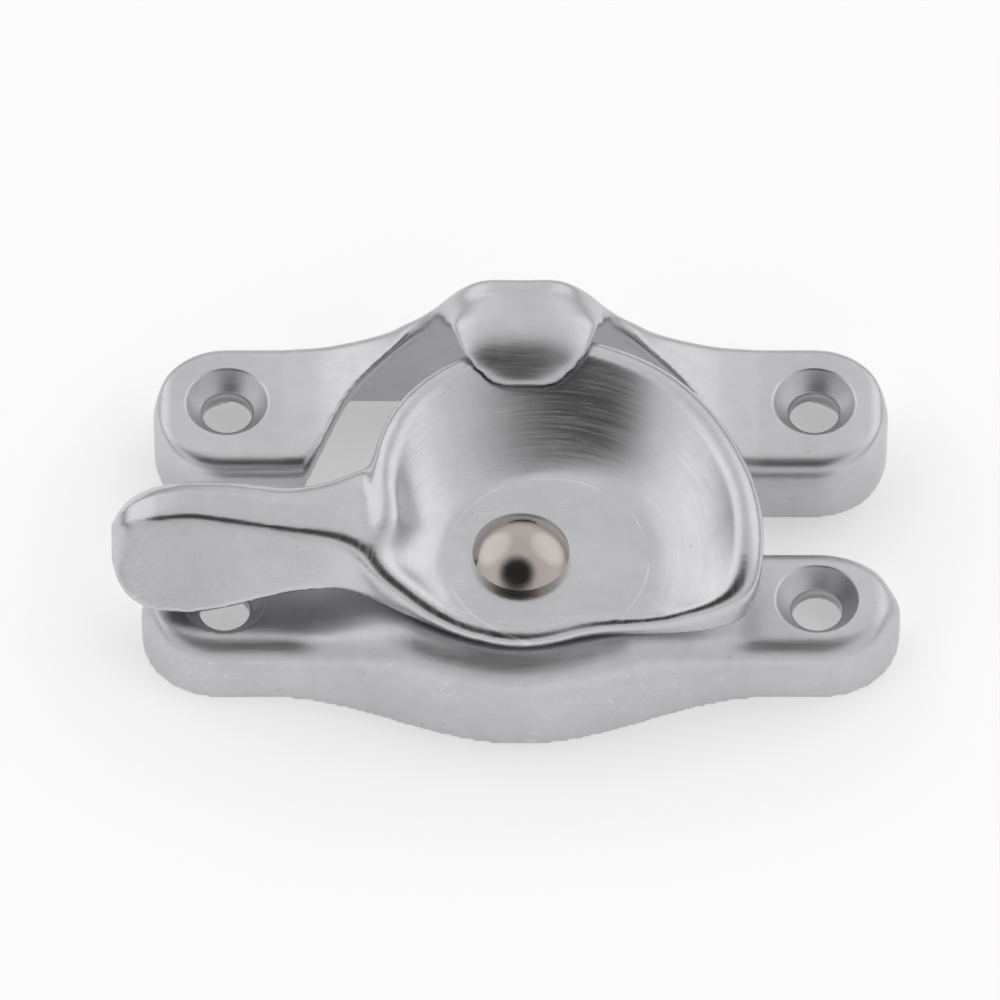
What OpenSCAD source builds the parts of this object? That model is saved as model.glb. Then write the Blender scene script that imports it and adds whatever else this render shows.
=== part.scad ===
// Cam fastener for a pair of sliding sashes: a base with a turning cam lever, and a keep.
// The origin is on the mounting plane, midway between the two screw holes of the base.
// +X runs along the meeting rails, +Y points from the base to the keep, +Z points up.

/* [Fixing] */
// Distance between the two screw holes of each casting
hole_spacing = 54; // [50:0.5:58]
// Diameter of the clearance hole for a number 8 wood screw
hole_d = 4.6; // [4.2:0.1:5]
// Diameter of the countersink at the surface
sink_d = 7.5; // [7:0.1:8]
// Depth of the conical part of a countersink
sink_depth = 1.5; // [1.2:0.1:1.8]
// Distance from the base screw holes to the keep screw holes
keep_offset = 21.4; // [21:0.1:22]

/* [Castings] */
// Height of the base lugs
base_lug_h = 5.6; // [5:0.1:6]
// Height of the raised middle of the base
mound_h = 9.5; // [9:0.1:9.5]
// Half the width of a base lug
base_lug_w = 7.1; // [6.6:0.1:7.3]
// Half the width of the base at its middle
mound_w = 12.4; // [11.8:0.1:12.6]
// Height of the keep lugs
keep_lug_h = 7.2; // [6.5:0.1:7.6]
// Height of the hook
hook_h = 19; // [18.8:0.1:20]
// Thickness of the side walls
wall = 1.6; // [1.4:0.1:2]

/* [Cam lever] */
// Radius of the concentric part of the cam rim
cam_r = 22; // [21.8:0.1:22.2]
// Radius of the drawing-in part of the cam rim
draw_r = 15.7; // [15.4:0.1:16]
// Height of the underside of the cam plate
cam_z = 9.9; // [9.9:0.1:10]
// Thickness of the dish floor
floor_t = 2.1; // [1.9:0.1:2.2]
// Height of the crest of the cam rim
crest_z = 16.6; // [16.2:0.1:16.6]
// Length of the handle from the pivot
handle_l = 37.4; // [35:0.2:39]

/* [Pivot] */
// Diameter of the rivet head
head_d = 8.8; // [8.4:0.1:9.2]
// Height of the domed part of the rivet head
dome_h = 1.9; // [1.6:0.1:2.2]
// Diameter of the rivet shank
shank_d = 5; // [4.8:0.1:5.2]
// Running clearance between the shank and its bores, on the radius
clearance = 0.05; // [0.03:0.01:0.08]

/* [Hidden] */
$fn = 72;
small = 0.01;
hole_x = hole_spacing / 2;
satin = [0.76, 0.76, 0.78];
steel = [0.62, 0.62, 0.63];

// A number that eases from 0 to 1
function ease(t) = t <= 0 ? 0 : t >= 1 ? 1 : t * t * (3 - 2 * t);
// Half the chord of a circle of radius r, at distance d from its centre
function half_chord(r, d) = sqrt(max(0, r * r - d * d));

// A closed skin over rings of points that all have the same number of points
module skin(rings) {
    m = len(rings[0]);
    n = len(rings);
    points = [for (ring = rings) each ring];
    sides = [for (i = [0:n - 2], j = [0:m - 1])
        let (k = (j + 1) % m)
        each [[i * m + j, i * m + k, (i + 1) * m + k], [i * m + j, (i + 1) * m + k, (i + 1) * m + j]]];
    start = [for (j = [1:m - 2]) [0, j + 1, j]];
    stop = [for (j = [1:m - 2]) [(n - 1) * m, (n - 1) * m + j, (n - 1) * m + j + 1]];
    polyhedron(points, concat(sides, start, stop), convexity = 8);
}

// A section across a casting: front and rear wall, with rounded shoulders and a crowned top
corner_steps = 4;
function section(x, front0, front1, rear0, rear1, bottom, top, corner) =
    let (r = min(corner, (rear1 - front1) * 0.45, (top - bottom) * 0.6))
    concat(
        [[x, front0, bottom]],
        [for (i = [0:corner_steps])
            let (a = 90 * i / corner_steps)
            [x, front1 + r - r * cos(a), top - r + r * sin(a)]],
        [for (i = [corner_steps:-1:0])
            let (a = 90 * i / corner_steps)
            [x, rear1 - r + r * cos(a), top - r + r * sin(a)]],
        [[x, rear0, bottom]]);

// Stations along a casting, close together near the rounded ends
stations = 56;
function station(i, end) = end * sin(90 * (2 * i / stations - 1)) * (1 - 0.0001);

module screw_hole(x, y, top) {
    translate([x, y, -1]) cylinder(h = top + 2, d = hole_d);
    translate([x, y, top - sink_depth]) cylinder(h = sink_depth + small, d1 = hole_d + 0.6, d2 = sink_d);
    translate([x, y, top]) cylinder(h = 12, d = sink_d);
}

// Base: a lens shape in plan, hollow underneath
base_end = hole_x + 7.6;
bulge_end = 23;
draft = 0.7;
function base_width(x) = abs(x) > hole_x
    ? base_lug_w * half_chord(1, (abs(x) - hole_x) / (base_end - hole_x))
    : base_lug_w + (mound_w - base_lug_w) * (0.5 + 0.5 * cos(180 * min(abs(x), bulge_end) / bulge_end));
function base_height(x) = base_lug_h + (mound_h - base_lug_h) * ease((21 - abs(x)) / 12);
function base_drop(x, end, r) = r - half_chord(r, max(0, r - (end - abs(x))));

base_skin_t = 2.2;
lug_skin_t = 3;
function base_section(x) =
    let (w = max(0.05, base_width(x)), lean = min(draft, w / 2))
    section(x, -w, -w + lean, w, w - lean, 0, base_height(x) - base_drop(x, base_end, 1.8), 1.8);
core_end = base_end - wall - draft;
function base_core_section(x) =
    let (w = max(0.05, base_width(x * base_end / core_end) - wall - draft / 2))
    let (t = lug_skin_t + (base_skin_t - lug_skin_t) * ease((18 - abs(x)) / 8))
    section(x, -w, -w, w, w, -1, base_height(x) - t, 0.8);

finger_l = 8;
finger_w = 3;
index_z = 5.4;
index_t = 1.8;
stop_gap = 0.1;
module base_casting() {
    color(satin) {
        difference() {
            skin([for (i = [0:stations]) base_section(station(i, base_end))]);
            difference() {
                skin([for (i = [0:stations]) base_core_section(station(i, core_end))]);
                for (side = [-1, 1]) {
                    translate([side * 7 - 1.5, -finger_w / 2 - stop_gap - 2, index_z - 0.4]) cube([3, 2, 5]);
                }
            }
            for (side = [-1, 1]) {
                screw_hole(side * hole_x, 0, base_lug_h);
            }
            cylinder(h = 12, r = shank_d / 2 + clearance);
        }
    }
}

// Keep: two lugs joined by an arch that carries the hook over the cam rim
keep_end = hole_x + 6.8;
keep_front = 13.4;
keep_rear = 28.5;
keep_mid = (keep_front + keep_rear) / 2;
keep_half = (keep_rear - keep_front) / 2;
keep_lean = 1;
arch_end = 18.8;
// How much of the hook's height the casting still has, against the distance from the middle
top_line = [
    [0, 1], [3.2, 0.99], [4.6, 0.95], [5.5, 0.89], [6.4, 0.81], [7.4, 0.69], [8.3, 0.58], [9.3, 0.46],
    [11, 0.33], [13, 0.21], [15.5, 0.12], [18.5, 0.04], [22, 0]];
// Front edge of the arch, against the distance from the middle
arch_line = [
    [0, 24.8], [6, 25.6], [8.2, 26.2], [9.3, 26.2], [11.1, 25.4], [13, 24.2], [14.8, 22.6], [16, 21.1],
    [17.5, 18], [18.8, 14.8], [19.8, keep_front]];
function lug_round(x) = abs(x) > hole_x ? half_chord(1, (abs(x) - hole_x) / (keep_end - hole_x)) : 1;
function keep_height(x) = keep_lug_h + (hook_h - 0.5 - keep_lug_h) * lookup(abs(x), top_line);
function arch_front(x) = max(keep_mid - keep_half * lug_round(x), lookup(abs(x), arch_line));
function keep_back(x) = keep_mid + keep_half * lug_round(x);
function lean_at(h) = keep_lean * pow(h / hook_h, 2);
function keep_section(x) =
    let (h = keep_height(x), f = arch_front(x), b = max(keep_back(x), f + 0.1), inset = min(0.3, (b - f) / 4))
    let (open = abs(x) < arch_end)
    section(x, f + (open ? 0.5 : 0), f + (open ? 0 : inset), b, b - inset * 0.6 - lean_at(h), 0,
        h - base_drop(x, keep_end, 1.6), open ? 0.5 : 1.5);
keep_core_end = keep_end - wall - 0.4;
function keep_core_section(x) =
    let (h = keep_height(x), open = abs(x) < arch_end + 0.8, s = x * keep_end / keep_core_end)
    let (f = open ? arch_front(x) - 3 : arch_front(s) + wall, b = max(keep_back(s) - wall, f + 0.1))
    section(x, f, f, b, b - lean_at(h), -1, h - lug_skin_t + (open ? 1.2 : 0), 0.8);

// Hook: a tongue that reaches over the cam rim and dips behind it
hook_x = 0.35;
hook_steps = 16;
hook_square = 0.86;
roof_z = crest_z + 0.4;
// Each row holds the place along Y, half the width at the foot, the underside and the drop of the top
hook_rows = [
    [16.2, 2, 16.3, 2.4],
    [16.5, 3.1, 16.3, 2.2],
    [17.2, 4.4, 16.6, 1.8],
    [18, 5.3, 16.9, 1.3],
    [18.8, 5.7, roof_z, 0.9],
    [20.8, 6.3, roof_z, 0.3],
    [22, 6.8, roof_z, 0.1],
    [22.9, 7.2, 16.3, 0],
    [24, 7.6, 14.8, 0],
    [25, 8, 13.5, 0.1],
    [26.3, 8.3, 12.6, 0.4],
    [27.3, 8.3, 12.2, 1.3],
    [27.8, 8.3, 12, 2.8]];
function crown(half, low, high, a) = [
    half * sign(cos(a)) * pow(abs(cos(a)), hook_square),
    low + (high - low) * pow(abs(sin(a)), hook_square)];
module hook() {
    translate([hook_x, 0, 0]) skin([for (row = hook_rows) [for (k = [0:hook_steps])
        let (p = crown(row[1], row[2], hook_h - row[3], 180 * k / hook_steps))
        [p[0], row[0], p[1]]]]);
}
module keep_casting() {
    color(satin) {
        difference() {
            skin([for (i = [0:stations]) keep_section(station(i, keep_end))]);
            skin([for (i = [0:stations]) keep_core_section(station(i, keep_core_end))]);
            for (side = [-1, 1]) {
                screw_hole(side * hole_x, keep_offset, keep_lug_h);
            }
        }
        hook();
    }
}

// Cam lever: a dish with a rim of two tangent arcs, open at the front, and a handle
rim_w = 3.2;
draw_angle = 73;
draw_x = (cam_r - draw_r) * cos(draw_angle);
draw_y = (cam_r - draw_r) * sin(draw_angle);
hub_r = 9.3;
chord_y = 7.75;
cam_swell = 0.75;
// Angle and radius of the edge between the handle and the hub, seen from the pivot
side_edge = [[188, 15], [195, 13.9], [203, 12.6], [211, 11.6], [222, 10.6], [233, 10], [250, 9.45]];
function ray_to_draw(a) =
    let (b = draw_x * cos(a) + draw_y * sin(a))
    b + sqrt(b * b - draw_x * draw_x - draw_y * draw_y + draw_r * draw_r);
// The open front: round the hub, then straight, then round the corner into the rim
function front_reach(a) =
    let (straight = chord_y / max(0.05, abs(sin(a))))
    let (reach = pow(pow(hub_r, 10) + pow(straight, 10), 0.1))
    pow(pow(reach, -6) + pow(cam_r, -6), -1 / 6);
function swell(a) = cam_swell * ease((a - 20) / 40) * ease((110 - a) / 40);
function side_reach(a) = lookup(a, side_edge) + (ray_to_draw(a) - lookup(a, side_edge)) * ease((188 - a) / 28);
function cam_edge(a) =
    a < 0 || a >= 250 ? front_reach(a)
    : a < draw_angle ? cam_r + swell(a)
    : a < 160 ? ray_to_draw(a) + swell(a)
    : side_reach(a);
floor_z = cam_z + floor_t;
// Angle and height of the rim above the dish floor, as a share of its full height
rim_rise = [
    [-17, 0.48], [-12, 0.65], [-5, 0.83], [5, 0.96], [20, 1], [120, 1], [150, 0.93], [170, 0.8], [185, 0.63],
    [195, 0.46], [208, 0.24], [222, 0.09], [240, 0.03], [322, 0.02], [331, 0.09], [337, 0.26], [343, 0.48]];
function rise(a) = (crest_z - floor_z) * lookup(a, rim_rise);
dish_r = 9.2;
dish_x = 2.4;
wall_steps = 6;
function rim_width(a) = rim_w * (0.4 + 0.6 * min(1, rise(a) / 3));
function rim_round(a) = 0.6 + 0.7 * min(1, rise(a) / 3);
function dish_edge(a) = min(cam_edge(a) - rim_w - 0.6, dish_x * cos(a) + half_chord(dish_r, dish_x * sin(a)));
cam_steps = 90;
function cam_ring(inset, height) = [for (i = [cam_steps - 1:-1:0])
    let (a = 360 * i / cam_steps - 17, r = cam_edge(a) - inset(a))
    [r * cos(a), r * sin(a), height(a)]];
function crest(a) = floor_z + rise(a);
function wall_in(a, t) = (cam_edge(a) - rim_width(a) / 2 - dish_edge(a)) * (1 - t) + rim_width(a) / 2;
function wall_up(a, t) = floor_z + rise(a) * pow(t, 1 + 1.6 / (cam_edge(a) - rim_width(a) / 2 - dish_edge(a)));
cam_rings = concat(
    [cam_ring(function (a) cam_edge(a) - 0.2, function (a) cam_z)],
    [cam_ring(function (a) 1.5, function (a) cam_z)],
    [cam_ring(function (a) 0.5, function (a) cam_z + 0.3)],
    [cam_ring(function (a) 0.1, function (a) cam_z * 0.55 + crest(a) * 0.45)],
    [cam_ring(function (a) 0, function (a) crest(a) - rim_round(a))],
    [cam_ring(function (a) rim_width(a) * 0.12, function (a) crest(a) - rim_round(a) * 0.3)],
    [for (k = [wall_steps:-1:0]) cam_ring(
        function (a) wall_in(a, k / wall_steps),
        function (a) wall_up(a, k / wall_steps))],
    [cam_ring(function (a) cam_edge(a) - 0.2, function (a) floor_z)]);

// Handle: sections from the rounded thumb end in to the rim
// Each row holds the distance out, front foot, front ridge, rear edge, underside and top
handle_rows = [
    [37.3, 1.2, 3, 4.2, 9.4, 12],
    [36.6, -0.5, 2.6, 5.2, 8.3, 13.2],
    [35.2, -1.9, 2.2, 6.3, 7.3, 14.4],
    [33, -2.7, 2, 7, 6.8, 15.2],
    [30, -2.9, 2, 7.3, 6.8, 15.5],
    [27, -2.7, 1.6, 7.3, 7.2, 15.5],
    [24, -2.4, 1.1, 6.9, 8, 15.4],
    [20.9, -2.2, 0.7, 6.6, 8.9, 15.2],
    [17.3, -2.3, 0.1, 7.3, 9.6, 15.1],
    [14.6, -3.2, -1.1, 8.4, cam_z + 0.1, 14.6],
    [12.2, -4.6, -3.4, 8.6, cam_z + 0.2, 13.7]];
module handle() {
    scale_out = handle_l / 37.4;
    skin([for (row = handle_rows) [
        [-row[0] * scale_out, row[1] + 0.6, row[4]],
        [-row[0] * scale_out, row[1], row[4] + 0.9],
        [-row[0] * scale_out, row[1] * 0.3 + row[2] * 0.7, row[5] * 0.75 + row[4] * 0.25],
        [-row[0] * scale_out, row[2], row[5] - 0.5],
        [-row[0] * scale_out, row[2] + 1, row[5]],
        [-row[0] * scale_out, row[3] - 1.4, row[5] - 0.2],
        [-row[0] * scale_out, row[3] - 0.3, row[5] - 1.4],
        [-row[0] * scale_out, row[3], row[5] * 0.5 + row[4] * 0.5],
        [-row[0] * scale_out, row[3] - 1.2, row[4]]]]);
}

square_w = 3.9;
module cam_lever() {
    color(satin) {
        difference() {
            union() {
                skin(cam_rings);
                difference() {
                    handle();
                    // The handle stops at the outside of the dish
                    translate([draw_x, draw_y, 0]) cylinder(h = 30, r = draw_r - 2);
                }
            }
            translate([0, 0, cam_z - 1]) cylinder(h = 4, r = shank_d / 2 + clearance);
        }
    }
}

// Rivet: domed head, round shank, squared tail for the index plate and a peened end
tail_z = 2;
tail_d = 3.5;
peen_h = 0.7;
square_top = index_z + index_t;
module pivot_rivet() {
    cap_r = (pow(head_d / 2, 2) + dome_h * dome_h) / (2 * dome_h);
    rim_h = 0.8;
    color([0.64, 0.6, 0.56]) {
        translate([0, 0, floor_z]) {
            cylinder(h = rim_h, d = head_d);
            translate([0, 0, rim_h]) intersection() {
                cylinder(h = dome_h + small, d = head_d);
                translate([0, 0, dome_h - cap_r]) sphere(r = cap_r);
            }
        }
        translate([0, 0, square_top]) cylinder(h = floor_z - square_top + small, d = shank_d);
        translate([-square_w / 2, -square_w / 2, index_z]) cube([square_w, square_w, index_t + small]);
        translate([0, 0, tail_z - peen_h]) cylinder(h = index_z - tail_z + peen_h + small, d = tail_d);
        translate([0, 0, tail_z - peen_h]) cylinder(h = peen_h, d1 = tail_d + 0.5, d2 = tail_d + 1.3);
    }
}

// Thin washer that the lever turns on
washer_d = 15;
module bearing_washer() {
    color(steel) translate([0, 0, mound_h]) difference() {
        cylinder(h = cam_z - mound_h, d = washer_d);
        translate([0, 0, -1]) cylinder(h = 3, r = shank_d / 2 + 2 * clearance);
    }
}

// Plate that turns with the rivet, with a finger that meets a stop at each end of the travel
module index_plate() {
    color(steel) translate([0, 0, index_z]) difference() {
        union() {
            cylinder(h = index_t, d = 9.6);
            translate([0, -finger_w / 2, 0]) cube([finger_l, finger_w, index_t]);
        }
        translate([-square_w / 2, -square_w / 2, -1]) cube([square_w, square_w, index_t + 2]);
    }
}

// Bowed strip that presses down on the retaining washer and keeps the lever tight
spring_l = 25;
spring_w = 7;
spring_t = 0.5;
spring_rise = 2.4;
module bow_spring() {
    bow_r = (pow(spring_l / 2, 2) + spring_rise * spring_rise) / (2 * spring_rise);
    color(steel) difference() {
        translate([0, spring_w / 2, tail_z + 1.1 + bow_r]) rotate([90, 0, 0]) intersection() {
            difference() {
                cylinder(h = spring_w, r = bow_r, $fn = 180);
                translate([0, 0, -1]) cylinder(h = spring_w + 2, r = bow_r - spring_t, $fn = 180);
            }
            translate([-spring_l / 2, -bow_r - 1, 0]) cube([spring_l, spring_rise + spring_t + 1, spring_w]);
        }
        cylinder(h = 8, d = square_w + 0.8);
    }
}

module retaining_washer() {
    color(steel) translate([0, 0, tail_z]) difference() {
        cylinder(h = 0.9, d = 8);
        translate([0, 0, -1]) cylinder(h = 3, d = tail_d);
    }
}

base_casting();
keep_casting();
cam_lever();
pivot_rivet();
bearing_washer();
index_plate();
bow_spring();
retaining_washer();
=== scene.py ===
import math
import bpy
import bmesh
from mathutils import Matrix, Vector


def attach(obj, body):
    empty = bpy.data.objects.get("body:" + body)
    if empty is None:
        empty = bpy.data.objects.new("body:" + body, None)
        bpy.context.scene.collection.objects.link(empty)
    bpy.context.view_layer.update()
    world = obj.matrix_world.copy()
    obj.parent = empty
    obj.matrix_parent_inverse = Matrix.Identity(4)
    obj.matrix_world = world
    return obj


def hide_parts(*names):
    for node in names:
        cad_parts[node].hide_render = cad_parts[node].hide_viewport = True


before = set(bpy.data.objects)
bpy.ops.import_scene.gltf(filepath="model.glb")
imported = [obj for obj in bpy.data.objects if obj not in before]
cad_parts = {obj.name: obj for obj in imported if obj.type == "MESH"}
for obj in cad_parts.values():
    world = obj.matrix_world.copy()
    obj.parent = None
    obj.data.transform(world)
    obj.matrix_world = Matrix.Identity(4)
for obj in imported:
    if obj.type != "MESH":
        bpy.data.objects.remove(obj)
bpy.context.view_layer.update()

# Lengths below are in millimetres and are brought to metres when a mesh is made.
# The origin is the pivot axis on the mounting plane, +Y points to the keep, +Z up.
toMetres = 0.001

cameraView = {
    "target": (-1.9, 8.7, 9.0),   # the point that the camera looks at
    "elevation": 53.0,
    "distance": 1200.0,
    "lens": 473.5,
}

def makeCamera(view):
    print("camera")
    tilt = math.radians(view["elevation"])
    back = Vector((0, -math.cos(tilt), math.sin(tilt))) * view["distance"]
    data = bpy.data.cameras.new("productCamera")
    data.lens = view["lens"]
    data.sensor_width = 36.0
    data.clip_start = 0.01
    data.clip_end = 20.0
    camera = bpy.data.objects.new("productCamera", data)
    bpy.context.collection.objects.link(camera)
    camera.location = (Vector(view["target"]) + back) * toMetres
    camera.rotation_euler = (math.radians(90) - tilt, 0, 0)
    bpy.context.scene.camera = camera

makeCamera(cameraView)

def ease(t):
    t = min(1.0, max(0.0, t))
    return t * t * (3 - 2 * t)

def chord(radius, distance):
    return math.sqrt(max(0.0, radius * radius - distance * distance))

def through(rows, at):
    # a smooth curve through a few rows of (place, value), flat beyond both ends
    if at <= rows[0][0]:
        return rows[0][1]
    if at >= rows[-1][0]:
        return rows[-1][1]
    slopes = [(b[1] - a[1]) / (b[0] - a[0]) for a, b in zip(rows, rows[1:])]
    lean = [slopes[0]]
    for before, after in zip(slopes, slopes[1:]):
        lean.append(0.0 if before * after <= 0 else 2 * before * after / (before + after))
    lean.append(slopes[-1])
    for i, (a, b) in enumerate(zip(rows, rows[1:])):
        if at <= b[0]:
            span = b[0] - a[0]
            t = (at - a[0]) / span
            return ((2 * t**3 - 3 * t**2 + 1) * a[1] + (t**3 - 2 * t**2 + t) * span * lean[i]
                    + (3 * t**2 - 2 * t**3) * b[1] + (t**3 - t**2) * span * lean[i + 1])

def addRing(bm, points):
    verts = [bm.verts.new(p) for p in points]
    return [bm.edges.new((verts[i], verts[(i + 1) % len(verts)])) for i in range(len(verts))]

def loft(rings):
    # a closed skin over rings of points, bridged in order and capped at both ends
    bm = bmesh.new()
    loops = [addRing(bm, ring) for ring in rings]
    for first, second in zip(loops, loops[1:]):
        bmesh.ops.bridge_loops(bm, edges=first + second)
    for end in (loops[0], loops[-1]):
        bmesh.ops.contextual_create(bm, geom=end)
    bmesh.ops.recalc_face_normals(bm, faces=bm.faces)
    return bm

def revolve(profile, centre=(0, 0)):
    # a profile of (radius, height) spun about a vertical axis
    bm = bmesh.new()
    verts = [bm.verts.new((r, 0, z)) for r, z in profile]
    edges = [bm.edges.new(pair) for pair in zip(verts, verts[1:])]
    bmesh.ops.spin(bm, geom=verts + edges, cent=(0, 0, 0), axis=(0, 0, 1), angle=math.tau, steps=96,
                   use_merge=True)
    bmesh.ops.remove_doubles(bm, verts=bm.verts, dist=1e-5)
    bmesh.ops.recalc_face_normals(bm, faces=bm.faces)
    bmesh.ops.translate(bm, verts=bm.verts, vec=(centre[0], centre[1], 0))
    return bm

def asObject(bm, name):
    bmesh.ops.scale(bm, vec=(toMetres,) * 3, verts=bm.verts)
    mesh = bpy.data.meshes.new(name)
    bm.to_mesh(mesh)
    bm.free()
    piece = bpy.data.objects.new(name, mesh)
    bpy.context.collection.objects.link(piece)
    return piece

def settle(piece):
    # the piece's modifiers become its mesh
    depsgraph = bpy.context.evaluated_depsgraph_get()
    mesh = bpy.data.meshes.new_from_object(piece.evaluated_get(depsgraph))
    piece.modifiers.clear()
    piece.data = mesh

def combine(piece, other, operation):
    modifier = piece.modifiers.new(operation, "BOOLEAN")
    modifier.operation = operation
    modifier.solver = "MANIFOLD"
    modifier.object = other
    settle(piece)
    bpy.data.objects.remove(other)

def soften(piece, voxel, rounds):
    # one even skin over everything, relaxed as a fettled casting is
    remesh = piece.modifiers.new("evenSkin", "REMESH")
    remesh.mode = "VOXEL"
    remesh.voxel_size = voxel * toMetres
    smooth = piece.modifiers.new("relax", "SMOOTH")
    smooth.factor = 0.5
    smooth.iterations = rounds
    settle(piece)

def relaxNear(piece, rounds, centre, radii):
    # extra smoothing where two forms run into each other, fading out towards the edge of the zone
    bm = bmesh.new()
    bm.from_mesh(piece.data)
    near = []
    for v in bm.verts:
        away = v.co / toMetres - Vector(centre)
        depth = 1 - math.sqrt(sum((away[i] / radii[i]) ** 2 for i in range(3)))
        if depth > 0:
            near.append((depth, v))
    for i in range(rounds):
        verts = [v for depth, v in near if depth > 0.6 * i / rounds]
        bmesh.ops.smooth_vert(bm, verts=verts, factor=0.5, use_axis_x=True, use_axis_y=True, use_axis_z=True)
    bm.to_mesh(piece.data)
    bm.free()

screwHole = {
    "spacing": 54.0,
    "drill": 4.6,
    "sink": 7.5,
    "sinkDepth": 1.6,
}
pivotBore = 2.55     # radius of the hole for the rivet's shank

def holeCutter(x, y, top):
    drill = screwHole["drill"] / 2
    sink = screwHole["sink"] / 2
    depth = screwHole["sinkDepth"]
    profile = [
        (0, top + 6), (sink + 0.6, top + 6), (sink + 0.6, top + 0.12), (sink + 0.24, top + 0.03),
        (sink + 0.06, top - 0.04), (sink - 0.08, top - 0.16), (drill + 0.22, top - depth),
        (drill + 0.06, top - depth - 0.08), (drill, top - depth - 0.25), (drill, -2), (0, -2)]
    return asObject(revolve(profile, (x, y)), "holeCutter")

def cutHoles(piece, y, top):
    for side in (-1, 1):
        combine(piece, holeCutter(side * screwHole["spacing"] / 2, y, top), "DIFFERENCE")

def section(x, front, rear, bottom, top, corner, rearCorner=None):
    # front and rear are (foot, shoulder) in Y; the outline runs up the front wall, over the top and down
    width = rear[1] - front[1]
    limit = min(width * 0.46, (top - bottom) * 0.7)
    r = min(corner, limit)
    back = min(rearCorner or corner, limit)
    points = []
    for i in range(6):
        t = i / 6
        points.append((x, front[0] + (front[1] - front[0]) * t, bottom + (top - r - bottom) * t))
    for i in range(9):
        a = math.radians(90 * i / 8)
        points.append((x, front[1] + r - r * math.cos(a), top - r + r * math.sin(a)))
    for i in range(1, 10):
        t = i / 10
        points.append((x, front[1] + r + (width - r - back) * t, top))
    for i in range(9):
        a = math.radians(90 * (1 - i / 8))
        points.append((x, rear[1] - back + back * math.cos(a), top - back + back * math.sin(a)))
    for i in range(1, 7):
        t = i / 6
        points.append((x, rear[1] + (rear[0] - rear[1]) * t, top - back + (bottom - top + back) * t))
    for i in range(1, 8):
        points.append((x, rear[0] + (front[0] - rear[0]) * i / 8, bottom))
    return points

def stations(end, count=120):
    return [end * 0.9998 * math.sin(math.radians(90 * (2 * i / count - 1))) for i in range(count + 1)]

def endRound(x, end):
    # how wide a lug still is, as a share, from its screw hole out to its end
    hole = screwHole["spacing"] / 2
    t = min(1.0, max(0.0, (abs(x) - hole) / (end - hole)))
    return (1 - t ** 2.1) ** (1 / 2.1)

def drop(x, end, r):
    return r - chord(r, max(0.0, r - (end - abs(x))))

base = {
    "end": 34.6,
    "lugHeight": 5.6,
    "moundHeight": 9.45,
    "lugHalf": 7.15,
    "bulgeHalf": 12.4,
    "bulgeEnd": 23.0,
    "wall": 1.6,
    "draft": 0.9,
    "shoulder": 2.5,
    "moundShoulder": 3.6,
    "lugSkin": 3.0,
    "moundSkin": 2.2,
    "voxel": 0.26,      # grain of the even skin, and the rounds that relax it
    "relaxed": 6,
}

def baseHalf(x):
    bell = 0.5 + 0.5 * math.cos(math.pi * min(abs(x), base["bulgeEnd"]) / base["bulgeEnd"])
    return base["lugHalf"] * endRound(x, base["end"]) + (base["bulgeHalf"] - base["lugHalf"]) * bell

def baseHeight(x):
    return base["lugHeight"] + (base["moundHeight"] - base["lugHeight"]) * ease((21 - abs(x)) / 12)

def makeBase():
    print("base casting")
    end = base["end"]
    rings = []
    for x in stations(end):
        w = max(0.05, baseHalf(x))
        lean = min(base["draft"], w / 3)
        top = baseHeight(x) - drop(x, end, base["shoulder"])
        corner = base["shoulder"] + (base["moundShoulder"] - base["shoulder"]) * ease((20 - abs(x)) / 12)
        rings.append(section(x, (-w, -w + lean), (w, w - lean), 0, top, corner))
    piece = asObject(loft(rings), "baseCasting")
    coreEnd = end - base["wall"] - 0.5
    core = []
    for x in stations(coreEnd, 80):
        w = max(0.05, baseHalf(x * end / coreEnd) - base["wall"] - 0.3)
        skinThick = base["lugSkin"] + (base["moundSkin"] - base["lugSkin"]) * ease((18 - abs(x)) / 8)
        core.append(section(x, (-w, -w), (w, w), -2, baseHeight(x) - skinThick, 1.2))
    combine(piece, asObject(loft(core), "baseCore"), "DIFFERENCE")
    soften(piece, base["voxel"], base["relaxed"])
    cutHoles(piece, 0, base["lugHeight"])
    bore = revolve([(0, 14), (pivotBore, 14), (pivotBore, -2), (0, -2)])
    combine(piece, asObject(bore, "pivotBore"), "DIFFERENCE")
    return piece

keep = {
    "end": 33.8,
    "front": 13.4,
    "rear": 28.4,
    "holeY": 21.4,
    "lugHeight": 7.2,
    # top of the casting against the distance from the middle
    "topLine": [(0, 18.65), (2.4, 18.62), (3.6, 18.4), (4.6, 18.0), (5.5, 17.35), (6.4, 16.4), (7.4, 15.0),
                (8.3, 13.7),
                (9.3, 12.4), (11, 10.9), (13, 9.6), (15.5, 8.5), (18.5, 7.6), (22, 7.2)],
    # front edge of the raised arch
    "archLine": [(0, 24.8), (6, 25.6), (8.2, 26.2), (9.3, 26.2), (11.1, 25.4), (13, 24.2), (14.8, 22.6),
                 (16, 21.1), (17.5, 18.0), (18.8, 14.8), (19.8, 13.0)],
    "archEnd": 18.6,
    "wall": 1.5,
    "shoulder": 1.7,
    "rearShoulder": 1.3,
    "lean": 1.0,
    "skin": 3.0,
    "voxel": 0.24,
    "relaxed": 5,
    # rounds, centre and radii of each zone where the hook fairs into the arch
    "fillets": [(60, (-8, 25, 15), (6, 5, 6)), (60, (8, 25, 15), (6, 5, 6)),
                (30, (0.35, 18, 17.5), (9, 7, 5))],
}

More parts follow.
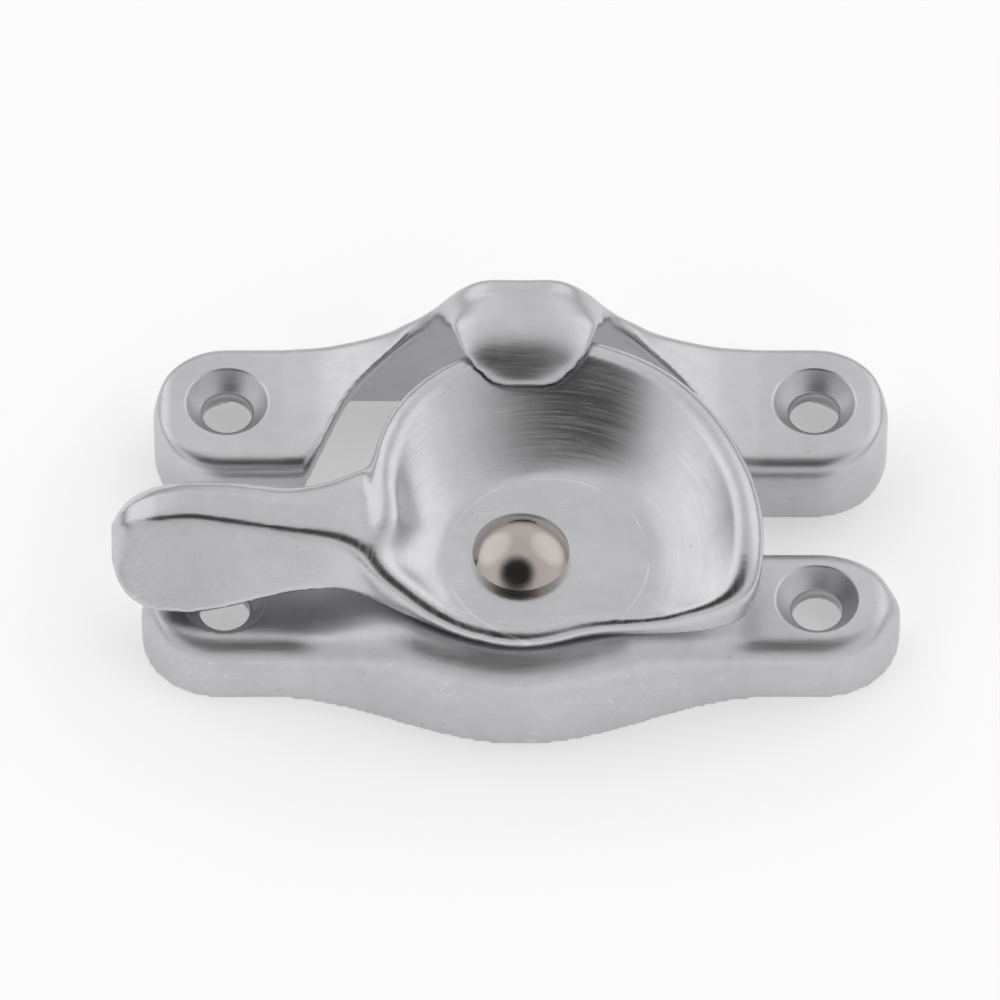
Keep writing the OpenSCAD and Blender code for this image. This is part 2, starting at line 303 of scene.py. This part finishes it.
# the hook along Y: half width at the foot, underside and top
tongue = {
    "centreX": 0.35,
    "foot": [(16.1, 1.0), (16.25, 1.9), (16.5, 2.75), (17.2, 4.1), (18.0, 5.05), (19.2, 5.8), (20.8, 6.35),
             (22.6, 7.1), (24.4, 7.6), (25.6, 7.4), (27.8, 7.0)],
    "square": [(16.1, 1.0), (18.5, 0.95), (22.0, 0.86)],
    "under": [(16.1, 15.75), (16.6, 15.75), (17.2, 16.1), (18.0, 16.7), (18.8, 17.0), (19.4, 17.0),
              (22.0, 17.0), (22.8, 16.3), (23.6, 15.1), (24.4, 14.1), (25.4, 13.2), (26.6, 12.6),
              (27.8, 12.0)],
    "top": [(16.1, 16.0), (16.3, 16.3), (16.6, 16.6), (17.2, 17.0), (18.2, 17.7), (19.5, 18.35),
            (21.0, 18.75), (23.0, 18.92), (24.6, 18.85), (26.0, 18.5), (27.1, 17.8), (27.8, 16.4)],
}

def keepHeight(x):
    return through(keep["topLine"], abs(x))

def keepFront(x):
    middle = (keep["front"] + keep["rear"]) / 2
    half = (keep["rear"] - keep["front"]) / 2
    return max(middle - half * endRound(x, keep["end"]), through(keep["archLine"], abs(x)))

def keepBack(x):
    middle = (keep["front"] + keep["rear"]) / 2
    return middle + (keep["rear"] - middle) * endRound(x, keep["end"])

def keepLean(height):
    return keep["lean"] * (height / keep["topLine"][0][1]) ** 2

def makeHook():
    rings = []
    low, high = tongue["foot"][0][0], tongue["foot"][-1][0]
    for i in range(45):
        y = low + (high - low) * i / 44
        foot = through(tongue["foot"], y)
        under = through(tongue["under"], y)
        top = through(tongue["top"], y)
        square = through(tongue["square"], y)
        half = []
        for k in range(17):     # a crowned top that falls steeper and steeper to the sides
            a = math.radians(90 - 90 * k / 16)
            half.append((foot * abs(math.cos(a)) ** square, under + (top - under) * math.sin(a) ** square))
        half += [(foot * 0.75, under), (foot * 0.4, under)]
        ring = half + [(-x, z) for x, z in reversed(half[1:])]
        rings.append([(tongue["centreX"] + x, y, z) for x, z in ring])
    return asObject(loft(rings), "hook")

def makeKeep():
    print("keep casting")
    end = keep["end"]
    rings = []
    for x in stations(end, 160):
        height = keepHeight(x)
        front = keepFront(x)
        rear = max(keepBack(x), front + 0.1)
        inset = min(0.35, (rear - front) / 4)
        shift = keepLean(height)
        arch = ease((keep["archEnd"] + 0.8 - abs(x)) / 1.6)
        corner = keep["shoulder"] * (1 - arch) + 0.4 * arch
        shoulder = (front + inset) * (1 - arch) + front * arch
        top = height - drop(x, end, keep["shoulder"])
        rings.append(section(x, (front + 0.6 * arch, shoulder), (rear, rear - inset * 0.6 - shift), 0, top,
                             corner, rearCorner=keep["rearShoulder"]))
    piece = asObject(loft(rings), "keepCasting")
    coreEnd = end - keep["wall"] - 0.5
    core = []
    for x in stations(coreEnd, 100):
        height = keepHeight(x)
        wide = x * end / coreEnd
        isOpen = ease((keep["archEnd"] + 1.5 - abs(x)) / 1.5)
        front = (keepFront(wide) + keep["wall"]) * (1 - isOpen) + (keepFront(x) - 3) * isOpen
        rear = max(keepBack(wide) - keep["wall"], front + 0.1)
        core.append(section(x, (front, front), (rear, rear - keepLean(height)), -2,
                            height - keep["skin"] + 1.3 * isOpen, 1.0))
    combine(piece, asObject(loft(core), "keepCore"), "DIFFERENCE")
    combine(piece, makeHook(), "UNION")
    soften(piece, keep["voxel"], keep["relaxed"])
    for fillet in keep["fillets"]:
        relaxNear(piece, *fillet)
    cutHoles(piece, keep["holeY"], keep["lugHeight"])
    return piece

lever = {
    "camRadius": 22.0,
    "camSwell": 0.75,
    "drawRadius": 15.7,
    "drawAngle": 73.0,
    "underside": 9.9,
    "floor": 12.0,
    "crest": 16.6,
    "rimWidth": 3.2,
    "dishRadius": 9.2,
    "dishX": 2.4,
    # angle about the pivot and radius of the open front edge
    "frontEdge": [(188, 15.0), (195, 13.9), (203, 12.6), (211, 11.6), (222, 10.6), (233, 10.0), (250, 9.45)],
    "hubRadius": 9.3,
    "chordY": 7.75,
    "voxel": 0.22,
    "relaxed": 5,
    # rounds, centre and radii of each zone where the handle fairs into the rim
    "fillets": [(60, (-14.5, 5.5, 14.5), (6, 10, 5)), (50, (-12.8, -3.0, 13.0), (6, 6, 4))],
    # angle about the pivot and height of the rim above the dish floor
    "rimRise": [(-17, 2.2), (-12, 3.0), (-5, 3.8), (5, 4.4), (20, 4.6), (120, 4.6), (150, 4.3), (170, 3.7),
                (185, 2.9), (195, 2.1), (208, 1.1), (222, 0.4), (240, 0.12), (322, 0.1), (331, 0.4),
                (337, 1.2), (343, 2.2)],
}
drawTurn = math.radians(lever["drawAngle"])
drawCentre = Vector((math.cos(drawTurn), math.sin(drawTurn))) * (lever["camRadius"] - lever["drawRadius"])

def camEdge(angle):
    # outside of the rim: an arc about the pivot, a smaller arc tangent to it, then the open front edge
    toward = Vector((math.cos(math.radians(angle)), math.sin(math.radians(angle))))
    if angle < 0 or angle >= 250:
        straight = lever["chordY"] / abs(toward.y)
        if straight > 4 * lever["camRadius"]:
            return lever["camRadius"]
        front = (lever["hubRadius"] ** 10 + straight ** 10) ** 0.1
        return (front ** -6 + lever["camRadius"] ** -6) ** (-1 / 6)
    swell = lever["camSwell"] * ease((angle - 20) / 40) * ease((110 - angle) / 40)
    if angle < lever["drawAngle"]:
        return lever["camRadius"] + swell
    along = toward.dot(drawCentre)
    arc = along + math.sqrt(along**2 - drawCentre.length_squared + lever["drawRadius"] ** 2)
    if angle < 160:
        return arc + swell
    front = through(lever["frontEdge"], angle)
    return front + (arc - front) * ease((188 - angle) / 28)

def dishEdge(angle):
    turn = math.radians(angle)
    reach = lever["dishX"] * math.cos(turn) + chord(lever["dishRadius"], lever["dishX"] * math.sin(turn))
    return min(camEdge(angle) - lever["rimWidth"] - 0.6, reach)

def makeDish():
    # each profile point is (radius, height) at one angle, from the underside out, over the rim and in
    steps = 240
    profiles = []
    low = lever["underside"]
    floor = lever["floor"]
    for i in range(steps):
        angle = -17 + 360 * i / steps
        edge = camEdge(angle)
        rise = through(lever["rimRise"], angle)
        share = min(1.0, rise / 3)
        width = lever["rimWidth"] * (0.7 + 0.3 * share)
        rounding = 0.95 + 0.35 * share
        crest = floor + rise
        points = [(0.4, low), (edge - 1.7, low), (edge - 0.8, low + 0.1), (edge - 0.45, low + 0.4)]
        points += [(edge - 0.15, low + (crest - low) * 0.45), (edge, crest - rounding)]
        for k in range(1, 7):       # over the crest
            a = math.radians(15 * k)
            points.append((edge - width / 2 * (1 - math.cos(a)), crest - rounding * (1 - math.sin(a))))
        inner = dishEdge(angle)
        for b in (9, 18, 27, 36):   # and a little way down inside
            a = math.radians(b)
            points.append((edge - width / 2 * (1 + math.sin(a)), crest - rounding * (1 - math.cos(a))))
        start, top = points[-1]
        wide = max(0.5, start - inner)
        power = 1.0 + 1.0 / wide + 0.8 * math.cos(math.radians(angle)) ** 2
        for k in range(1, 16):      # down the hollow wall to the floor
            t = 1 - k / 15
            points.append((inner + wide * t, floor + (top - floor) * t ** power))
        points += [(inner * 0.5, floor), (0.4, floor)]
        turn = math.radians(angle)
        profiles.append([(r * math.cos(turn), r * math.sin(turn), z) for r, z in points])
    return loft([list(ring) for ring in zip(*profiles)])

# distance out, then each section's outline in Y and Z from the front foot over the ridge to the rear
handle = {
    "out": [8, 10.5, 12.8, 14.6, 17.3, 20.9, 24, 27, 30, 33, 35.2, 36.6, 37.2],
    "foot": [-6.3, -5.4, -4.2, -3.2, -2.3, -2.2, -2.4, -2.7, -2.9, -2.7, -1.9, -0.5, 1.2],
    "ridge": [-6.1, -5.0, -3.2, -1.1, 0.1, 0.7, 1.15, 1.6, 2.05, 2.0, 2.2, 2.6, 3.0],
    "rear": [7.0, 8.4, 9.0, 8.7, 7.3, 6.6, 6.9, 7.3, 7.35, 7.0, 6.3, 5.2, 4.2],
    "under": [9.9, 9.9, 9.9, 9.9, 9.6, 8.9, 8.0, 7.2, 6.8, 6.8, 7.3, 8.3, 9.4],
    "top": [11.7, 12.5, 14.2, 15.2, 15.35, 15.25, 15.4, 15.5, 15.5, 15.2, 14.4, 13.2, 12.0],
}

def makeHandle():
    rings = []
    places = handle["out"]
    def at(name, out):
        return through(list(zip(places, handle[name])), out)
    for i in range(57):
        out = places[0] + (places[-1] - places[0]) * math.sin(math.radians(90 * i / 56))
        foot, ridge, rear = at("foot", out), at("ridge", out), at("rear", out)
        under, top = at("under", out), at("top", out)
        deep = top - under
        outline = [(foot + 1.6, under), (foot + 0.4, under + 0.1), (foot, under + min(0.7, deep * 0.15))]
        for k in (0.3, 0.62):
            height = outline[2][1] + (top - 0.7 - outline[2][1]) * k
            outline.append((foot + (ridge - 0.35 - foot) * k, height))
        outline += [
            (ridge - 0.35, top - 0.7), (ridge + 0.1, top - 0.15), (ridge + 0.9, top),
            (ridge * 0.5 + rear * 0.5, top + 0.1), (rear - 1.6, top - deep * 0.03),
            (rear - 0.6, top - deep * 0.12), (rear, top - deep * 0.32), (rear - 0.1, top - deep * 0.6),
            (rear - 0.8, top - deep * 0.86),
            (rear - 1.8, under + 0.05), ((foot + rear) / 2, under)]
        rings.append([(-out, y, z) for y, z in outline])
    return loft(rings)

def makeDishRoom():
    # the hollow of the dish, so that the handle does not fill it
    rings = []
    for height, share in ((lever["floor"], 0.0), (lever["floor"] + 0.6, 0.35), (lever["floor"] + 2.2, 0.7),
                          (lever["crest"] + 4, 1.0)):
        ring = []
        for i in range(180):
            angle = -17 + 2 * i
            turn = math.radians(angle)
            inner = dishEdge(angle)
            reach = inner + (camEdge(angle) - 1.7 - inner) * share
            ring.append((reach * math.cos(turn), reach * math.sin(turn), height))
        rings.append(ring)
    return loft(rings)

def makeLever():
    print("cam lever")
    piece = asObject(makeDish(), "camLever")
    grip = asObject(makeHandle(), "grip")
    combine(grip, asObject(makeDishRoom(), "dishRoom"), "DIFFERENCE")
    combine(piece, grip, "UNION")
    soften(piece, lever["voxel"], lever["relaxed"])
    for fillet in lever["fillets"]:
        relaxNear(piece, *fillet)
    bore = revolve([(0, 12.5), (pivotBore, 12.5), (pivotBore, 9), (0, 9)])
    combine(piece, asObject(bore, "leverBore"), "DIFFERENCE")
    return piece

baseCasting = makeBase()
keepCasting = makeKeep()
camLever = makeLever()

for piece in (baseCasting, keepCasting, camLever):
    piece.data.shade_smooth()

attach(baseCasting, "fixed")
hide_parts("base_casting")
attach(keepCasting, "fixed")
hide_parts("keep_casting")
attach(camLever, "lever")
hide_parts("cam_lever")

def nodeOf(tree, kind, **values):
    node = tree.nodes.new(kind)
    for key, value in values.items():
        setattr(node, key, value)
    return node

def groupOf(name, inputs, outputs):
    tree = bpy.data.node_groups.new(name, "ShaderNodeTree")
    for label, kind, value in inputs:
        socket = tree.interface.new_socket(label, in_out="INPUT", socket_type=kind)
        if value is not None:
            socket.default_value = value
    for label in outputs:
        tree.interface.new_socket(label, in_out="OUTPUT", socket_type="NodeSocketFloat")
    return tree, tree.nodes.new("NodeGroupInput"), tree.nodes.new("NodeGroupOutput")

def mathOf(tree, operation, first, second=None, third=None):
    node = nodeOf(tree, "ShaderNodeMath", operation=operation)
    for socket, value in zip(node.inputs, (first, second, third)):
        if isinstance(value, (int, float)):
            socket.default_value = value
        elif value is not None:
            tree.links.new(value, socket)
    return node.outputs[0]

def times(tree, first, second):
    return mathOf(tree, "MULTIPLY", first, second)

def plus(tree, first, second):
    return mathOf(tree, "ADD", first, second)

def minus(tree, first, second):
    return mathOf(tree, "SUBTRACT", first, second)

def lengthOf(tree, x, y):
    return mathOf(tree, "SQRT", plus(tree, times(tree, x, x), times(tree, y, y)))

def rangeOf(tree, value, low, high, toLow=0.0, toHigh=1.0):
    node = nodeOf(tree, "ShaderNodeMapRange", interpolation_type="SMOOTHSTEP")
    for name, number in (("From Min", low), ("From Max", high), ("To Min", toLow), ("To Max", toHigh)):
        if isinstance(number, (int, float)):
            node.inputs[name].default_value = number
        else:
            tree.links.new(number, node.inputs[name])
    tree.links.new(value, node.inputs["Value"])
    return node.outputs["Result"]

def noiseOf(tree, vector, scale, detail=2.0, roughness=0.5, distortion=0.0):
    node = nodeOf(tree, "ShaderNodeTexNoise")
    numbers = {"Scale": scale, "Detail": detail, "Roughness": roughness, "Distortion": distortion}
    for name, number in numbers.items():
        node.inputs[name].default_value = number
    tree.links.new(vector, node.inputs["Vector"])
    return node.outputs["Fac"]

def stretched(tree, vector, scale, turn=(0, 0, 0)):
    node = nodeOf(tree, "ShaderNodeMapping")
    node.inputs["Scale"].default_value = scale
    node.inputs["Rotation"].default_value = [math.radians(a) for a in turn]
    tree.links.new(vector, node.inputs["Vector"])
    return node.outputs["Vector"]

def makeStraightGrain():
    # the fine parallel lines an abrasive belt leaves along X
    tree, source, sink = groupOf("straightGrain", [("Vector", "NodeSocketVector", None)], ["Grain"])
    fine = noiseOf(tree, stretched(tree, source.outputs["Vector"], (260, 5200, 5200)), 1.0, 3.0, 0.6)
    turned = stretched(tree, source.outputs["Vector"], (90, 1500, 1500), (0, 0, 4))
    wide = noiseOf(tree, turned, 1.0, 2.0, 0.5)
    grain = mathOf(tree, "MULTIPLY_ADD", wide, 0.4, times(tree, fine, 0.6))
    tree.links.new(grain, sink.inputs["Grain"])
    return tree

def makeRoundGrain():
    # the same lines, left by work turned about a centre in X and Y
    sockets = [("Vector", "NodeSocketVector", None), ("Centre", "NodeSocketVector", (0.0, 0.0, 0.0))]
    tree, source, sink = groupOf("roundGrain", sockets, ["Grain", "Radius"])
    away = nodeOf(tree, "ShaderNodeVectorMath", operation="SUBTRACT")
    tree.links.new(source.outputs["Vector"], away.inputs[0])
    tree.links.new(source.outputs["Centre"], away.inputs[1])
    split = nodeOf(tree, "ShaderNodeSeparateXYZ")
    tree.links.new(away.outputs["Vector"], split.inputs["Vector"])
    x, y, z = split.outputs
    radius = lengthOf(tree, x, y)
    safe = mathOf(tree, "MAXIMUM", radius, 0.0002)
    place = nodeOf(tree, "ShaderNodeCombineXYZ")
    tree.links.new(times(tree, mathOf(tree, "DIVIDE", x, safe), 2.6), place.inputs["X"])
    tree.links.new(times(tree, mathOf(tree, "DIVIDE", y, safe), 2.6), place.inputs["Y"])
    tree.links.new(times(tree, plus(tree, radius, times(tree, z, 0.6)), 3800.0),
                   place.inputs["Z"])
    tree.links.new(noiseOf(tree, place.outputs["Vector"], 1.0, 3.0, 0.62), sink.inputs["Grain"])
    tree.links.new(radius, sink.inputs["Radius"])
    return tree

def makeScratches():
    # sparse thin nicks in two directions, in patches
    tree, source, sink = groupOf("fineScratches", [("Vector", "NodeSocketVector", None),
                                                   ("Amount", "NodeSocketFloat", 0.5)], ["Mask"])
    vector = source.outputs["Vector"]
    total = None
    for scale, turn, edge in (((500, 9500, 900), (0, 0, 63), 0.67), ((430, 11000, 900), (0, 0, -38), 0.68),
                              ((600, 9000, 900), (0, 0, 12), 0.69)):
        line = noiseOf(tree, stretched(tree, vector, scale, turn), 1.0, 1.0, 0.5, 0.25)
        mask = rangeOf(tree, line, edge, edge + 0.06)
        total = mask if total is None else mathOf(tree, "MAXIMUM", total, mask)
    patch = rangeOf(tree, noiseOf(tree, vector, 150.0, 2.0), 0.44, 0.66)
    shown = times(tree, times(tree, total, patch), source.outputs["Amount"])
    tree.links.new(shown, sink.inputs["Mask"])
    return tree

def makeMottle():
    # slow uneven tone of a plated casting, with a finer bloom over it
    tree, source, sink = groupOf("castMottle", [("Vector", "NodeSocketVector", None)], ["Tone", "Pits"])
    slow = noiseOf(tree, source.outputs["Vector"], 110.0, 3.0, 0.55)
    bloom = noiseOf(tree, source.outputs["Vector"], 700.0, 2.0, 0.5)
    tone = mathOf(tree, "MULTIPLY_ADD", bloom, 0.3, times(tree, slow, 0.7))
    tree.links.new(tone, sink.inputs["Tone"])
    pits = noiseOf(tree, source.outputs["Vector"], 1500.0, 1.0)
    tree.links.new(rangeOf(tree, pits, 0.74, 0.8), sink.inputs["Pits"])
    return tree

def makeSinkRings():
    # turning marks inside the two countersinks of a casting, whose holes lie at one Y
    sockets = [("Vector", "NodeSocketVector", None), ("Hole X", "NodeSocketFloat", 0.0),
               ("Hole Y", "NodeSocketFloat", 0.0), ("Top", "NodeSocketFloat", 0.0)]
    tree, source, sink = groupOf("sinkRings", sockets, ["Rings", "Mask"])
    split = nodeOf(tree, "ShaderNodeSeparateXYZ")
    tree.links.new(source.outputs["Vector"], split.inputs["Vector"])
    x = minus(tree, mathOf(tree, "ABSOLUTE", split.outputs["X"]), source.outputs["Hole X"])
    y = minus(tree, split.outputs["Y"], source.outputs["Hole Y"])
    radius = lengthOf(tree, x, y)
    place = nodeOf(tree, "ShaderNodeCombineXYZ")
    tree.links.new(times(tree, radius, 5200.0), place.inputs["Z"])
    tree.links.new(times(tree, x, 250.0), place.inputs["X"])
    tree.links.new(times(tree, y, 250.0), place.inputs["Y"])
    tree.links.new(noiseOf(tree, place.outputs["Vector"], 1.0, 2.0, 0.6), sink.inputs["Rings"])
    edge = screwHole["sink"] / 2
    inside = rangeOf(tree, radius, edge * toMetres, (edge + 0.12) * toMetres, 1.0, 0.0)
    below = mathOf(tree, "LESS_THAN", split.outputs["Z"], source.outputs["Top"])
    tree.links.new(times(tree, inside, below), sink.inputs["Mask"])
    return tree

effects = {
    "straight": makeStraightGrain(),
    "round": makeRoundGrain(),
    "scratch": makeScratches(),
    "mottle": makeMottle(),
    "sink": makeSinkRings(),
}

def useGroup(tree, name, vector, **values):
    node = nodeOf(tree, "ShaderNodeGroup", node_tree=effects[name])
    tree.links.new(vector, node.inputs["Vector"])
    for label, value in values.items():
        node.inputs[label.replace("_", " ")].default_value = value
    return node.outputs

satin = {
    "bright": (0.60, 0.60, 0.613),
    "dull": (0.54, 0.54, 0.553),
    "grainDepth": 0.000006,
}

def blend(tree, factor, first, second):
    node = nodeOf(tree, "ShaderNodeMix", data_type="RGBA")
    tree.links.new(factor, node.inputs[0])
    for socket, value in ((node.inputs[6], first), (node.inputs[7], second)):
        if isinstance(value, tuple):
            socket.default_value = (*value, 1)
        else:
            tree.links.new(value, socket)
    return node.outputs[2]

def newMaterial(name):
    material = bpy.data.materials.new(name)
    material.use_nodes = True
    tree = material.node_tree
    coords = nodeOf(tree, "ShaderNodeTexCoord")
    return material, tree, tree.nodes["Principled BSDF"], coords.outputs["Object"]

def bumpOf(tree, shader, height, distance, strength=1.0):
    bump = nodeOf(tree, "ShaderNodeBump")
    bump.inputs["Distance"].default_value = distance
    bump.inputs["Strength"].default_value = strength
    tree.links.new(height, bump.inputs["Height"])
    tree.links.new(bump.outputs["Normal"], shader.inputs["Normal"])

def satinCasting(name, roughness, roundCentre=None, hole=None, scratches=0.5):
    # brushed satin chrome over a casting, with turned hollows
    material, tree, shader, vector = newMaterial(name)
    mottle = useGroup(tree, "mottle", vector)
    grain = useGroup(tree, "straight", vector)["Grain"]
    if roundCentre:
        turned = useGroup(tree, "round", vector, Centre=roundCentre)
        inside = rangeOf(tree, turned["Radius"], 0.0165, 0.0215, 1.0, 0.0)
        step = mathOf(tree, "ABSOLUTE", minus(tree, turned["Radius"], lever["dishRadius"] * toMetres))
        line = times(tree, rangeOf(tree, step, 0.00003, 0.00014, 0.7, 0.0),
                      rangeOf(tree, noiseOf(tree, vector, 160.0, 1.0), 0.45, 0.6))
        grain = plus(tree, times(tree, turned["Grain"], inside),
                       times(tree, grain, minus(tree, 1.0, inside)))
    if hole:
        sinks = useGroup(tree, "sink", vector, Hole_X=hole[0] * toMetres, Hole_Y=hole[1] * toMetres,
                         Top=(hole[2] - 0.08) * toMetres)
        rings = times(tree, sinks["Rings"], times(tree, sinks["Mask"], 1.6))
        grain = plus(tree, rings,
                       times(tree, grain, minus(tree, 1.0, sinks["Mask"])))
    marks = useGroup(tree, "scratch", vector, Amount=scratches)["Mask"]
    if roundCentre:
        marks = mathOf(tree, "MAXIMUM", marks, line)
    tone = blend(tree, rangeOf(tree, mottle["Tone"], 0.3, 0.7), satin["dull"], satin["bright"])
    tone = blend(tree, times(tree, marks, 0.6), tone, (0.8, 0.8, 0.81))
    tone = blend(tree, times(tree, mottle["Pits"], 0.4), tone, (0.3, 0.3, 0.3))
    tree.links.new(tone, shader.inputs["Base Color"])
    shader.inputs["Metallic"].default_value = 1.0
    rough = plus(tree, rangeOf(tree, grain, 0.25, 0.75, roughness - 0.05, roughness + 0.07),
                   times(tree, marks, 0.12))
    tree.links.new(rough, shader.inputs["Roughness"])
    height = minus(tree, grain, times(tree, marks, 0.2))
    bumpOf(tree, shader, height, satin["grainDepth"], 0.6)
    return material

def polishedRivet():
    # a bright burnished head with faint turning rings and a warm cast
    material, tree, shader, vector = newMaterial("polishedRivet")
    turned = useGroup(tree, "round", vector)
    mottle = useGroup(tree, "mottle", vector)
    tone = blend(tree, mottle["Tone"], (0.42, 0.375, 0.345), (0.5, 0.46, 0.43))
    tree.links.new(tone, shader.inputs["Base Color"])
    shader.inputs["Metallic"].default_value = 1.0
    tree.links.new(rangeOf(tree, turned["Grain"], 0.3, 0.7, 0.1, 0.17), shader.inputs["Roughness"])
    bumpOf(tree, shader, turned["Grain"], 0.000004, 0.5)
    return material

def zincSteel(name, bright, dull):
    # plated pressings: a grained, slightly stained face
    material, tree, shader, vector = newMaterial(name)
    grain = useGroup(tree, "straight", vector)["Grain"]
    mottle = useGroup(tree, "mottle", vector)
    tone = blend(tree, rangeOf(tree, mottle["Tone"], 0.35, 0.65), dull, bright)
    tree.links.new(blend(tree, times(tree, mottle["Pits"], 0.5), tone, (0.2, 0.19, 0.18)),
                   shader.inputs["Base Color"])
    shader.inputs["Metallic"].default_value = 1.0
    tree.links.new(rangeOf(tree, grain, 0.25, 0.75, 0.28, 0.42), shader.inputs["Roughness"])
    bumpOf(tree, shader, grain, 0.00001, 0.5)
    return material

holeX = screwHole["spacing"] / 2
finishes = {
    baseCasting: satinCasting("satinBase", 0.38, hole=(holeX, 0, base["lugHeight"]), scratches=0.75),
    keepCasting: satinCasting("satinKeep", 0.33, hole=(holeX, keep["holeY"], keep["lugHeight"]),
                              scratches=0.45),
    camLever: satinCasting("satinLever", 0.25, roundCentre=(lever["dishX"] * toMetres, -0.0003, 0.0),
                           scratches=0.7),
}
for piece, material in finishes.items():
    piece.data.materials.clear()
    piece.data.materials.append(material)

zincFinish = zincSteel("zincSteel", (0.62, 0.62, 0.6), (0.5, 0.5, 0.49))
springFinish = zincSteel("springSteel", (0.36, 0.36, 0.38), (0.24, 0.24, 0.26))
cadFinishes = {
    "pivot_rivet": polishedRivet(),
    "bearing_washer": zincFinish,
    "index_plate": zincFinish,
    "bow_spring": springFinish,
    "retaining_washer": zincFinish,
}
for name, material in cadFinishes.items():
    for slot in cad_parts[name].material_slots:
        slot.material = material

def makeFloor():
    bm = bmesh.new()
    bmesh.ops.create_grid(bm, x_segments=2, y_segments=2, size=1.5)
    mesh = bpy.data.meshes.new("floor")
    bm.to_mesh(mesh)
    bm.free()
    floor = bpy.data.objects.new("floor", mesh)
    bpy.context.collection.objects.link(floor)
    material = bpy.data.materials.new("paleFloor")
    material.use_nodes = True
    shader = material.node_tree.nodes["Principled BSDF"]
    shader.inputs["Base Color"].default_value = (0.82, 0.82, 0.82, 1)
    shader.inputs["Roughness"].default_value = 0.95
    shader.inputs["Emission Color"].default_value = (1.0, 1.0, 1.0, 1)
    shader.inputs["Emission Strength"].default_value = 0.36
    mesh.materials.append(material)

makeFloor()

studio = {
    "horizon": 0.32,
    "ring": 1.15,       # bright band low around the rear and sides
    "overhead": 1.05,
    "front": 1.0,
    "darkCard": 0.05,
    "darkToward": (-0.12, -0.46, 0.88),     # the unlit space on the viewer's side
    "darkEdges": (0.79, 0.95),              # cosine where the shade starts, and where it is full
    "panel": 0.42,     # extra light of the two side panels
    "panels": ((-0.66, 0.46, 0.59), (0.66, 0.46, 0.59)),
    "panelEdges": (0.84, 0.95),
}

def cosineOf(tree, coords, direction, edges):
    toward = nodeOf(tree, "ShaderNodeVectorMath", operation="DOT_PRODUCT")
    toward.inputs[1].default_value = Vector(direction).normalized()
    tree.links.new(coords, toward.inputs[0])
    return rangeOf(tree, toward.outputs["Value"], edges[0], edges[1])

def makeWorld():
    print("studio light")
    world = bpy.data.worlds.new("studio")
    bpy.context.scene.world = world
    world.use_nodes = True
    tree = world.node_tree
    tree.nodes.clear()
    coords = nodeOf(tree, "ShaderNodeTexCoord").outputs["Generated"]
    split = nodeOf(tree, "ShaderNodeSeparateXYZ")
    tree.links.new(coords, split.inputs["Vector"])
    height = split.outputs["Z"]
    low = rangeOf(tree, height, -0.05, 0.45, studio["horizon"], studio["ring"])
    high = rangeOf(tree, height, 0.55, 0.85, 0.0, studio["overhead"] - studio["ring"])
    sky = plus(tree, low, high)
    forward = rangeOf(tree, split.outputs["Y"], -0.8, -0.35, 1.0, 0.0)
    sky = plus(tree, times(tree, sky, minus(tree, 1.0, forward)),
                 times(tree, forward, studio["front"]))
    for panel in studio["panels"]:
        lit = cosineOf(tree, coords, panel, studio["panelEdges"])
        sky = mathOf(tree, "MULTIPLY_ADD", lit, studio["panel"], sky)
    card = cosineOf(tree, coords, studio["darkToward"], studio["darkEdges"])
    sky = plus(tree, times(tree, sky, minus(tree, 1.0, card)),
                 times(tree, card, studio["darkCard"]))
    shade = nodeOf(tree, "ShaderNodeBackground")
    out = nodeOf(tree, "ShaderNodeOutputWorld")
    tree.links.new(sky, shade.inputs["Strength"])
    tree.links.new(shade.outputs["Background"], out.inputs["Surface"])

makeWorld()

scene = bpy.context.scene
scene.view_settings.view_transform = "Standard"
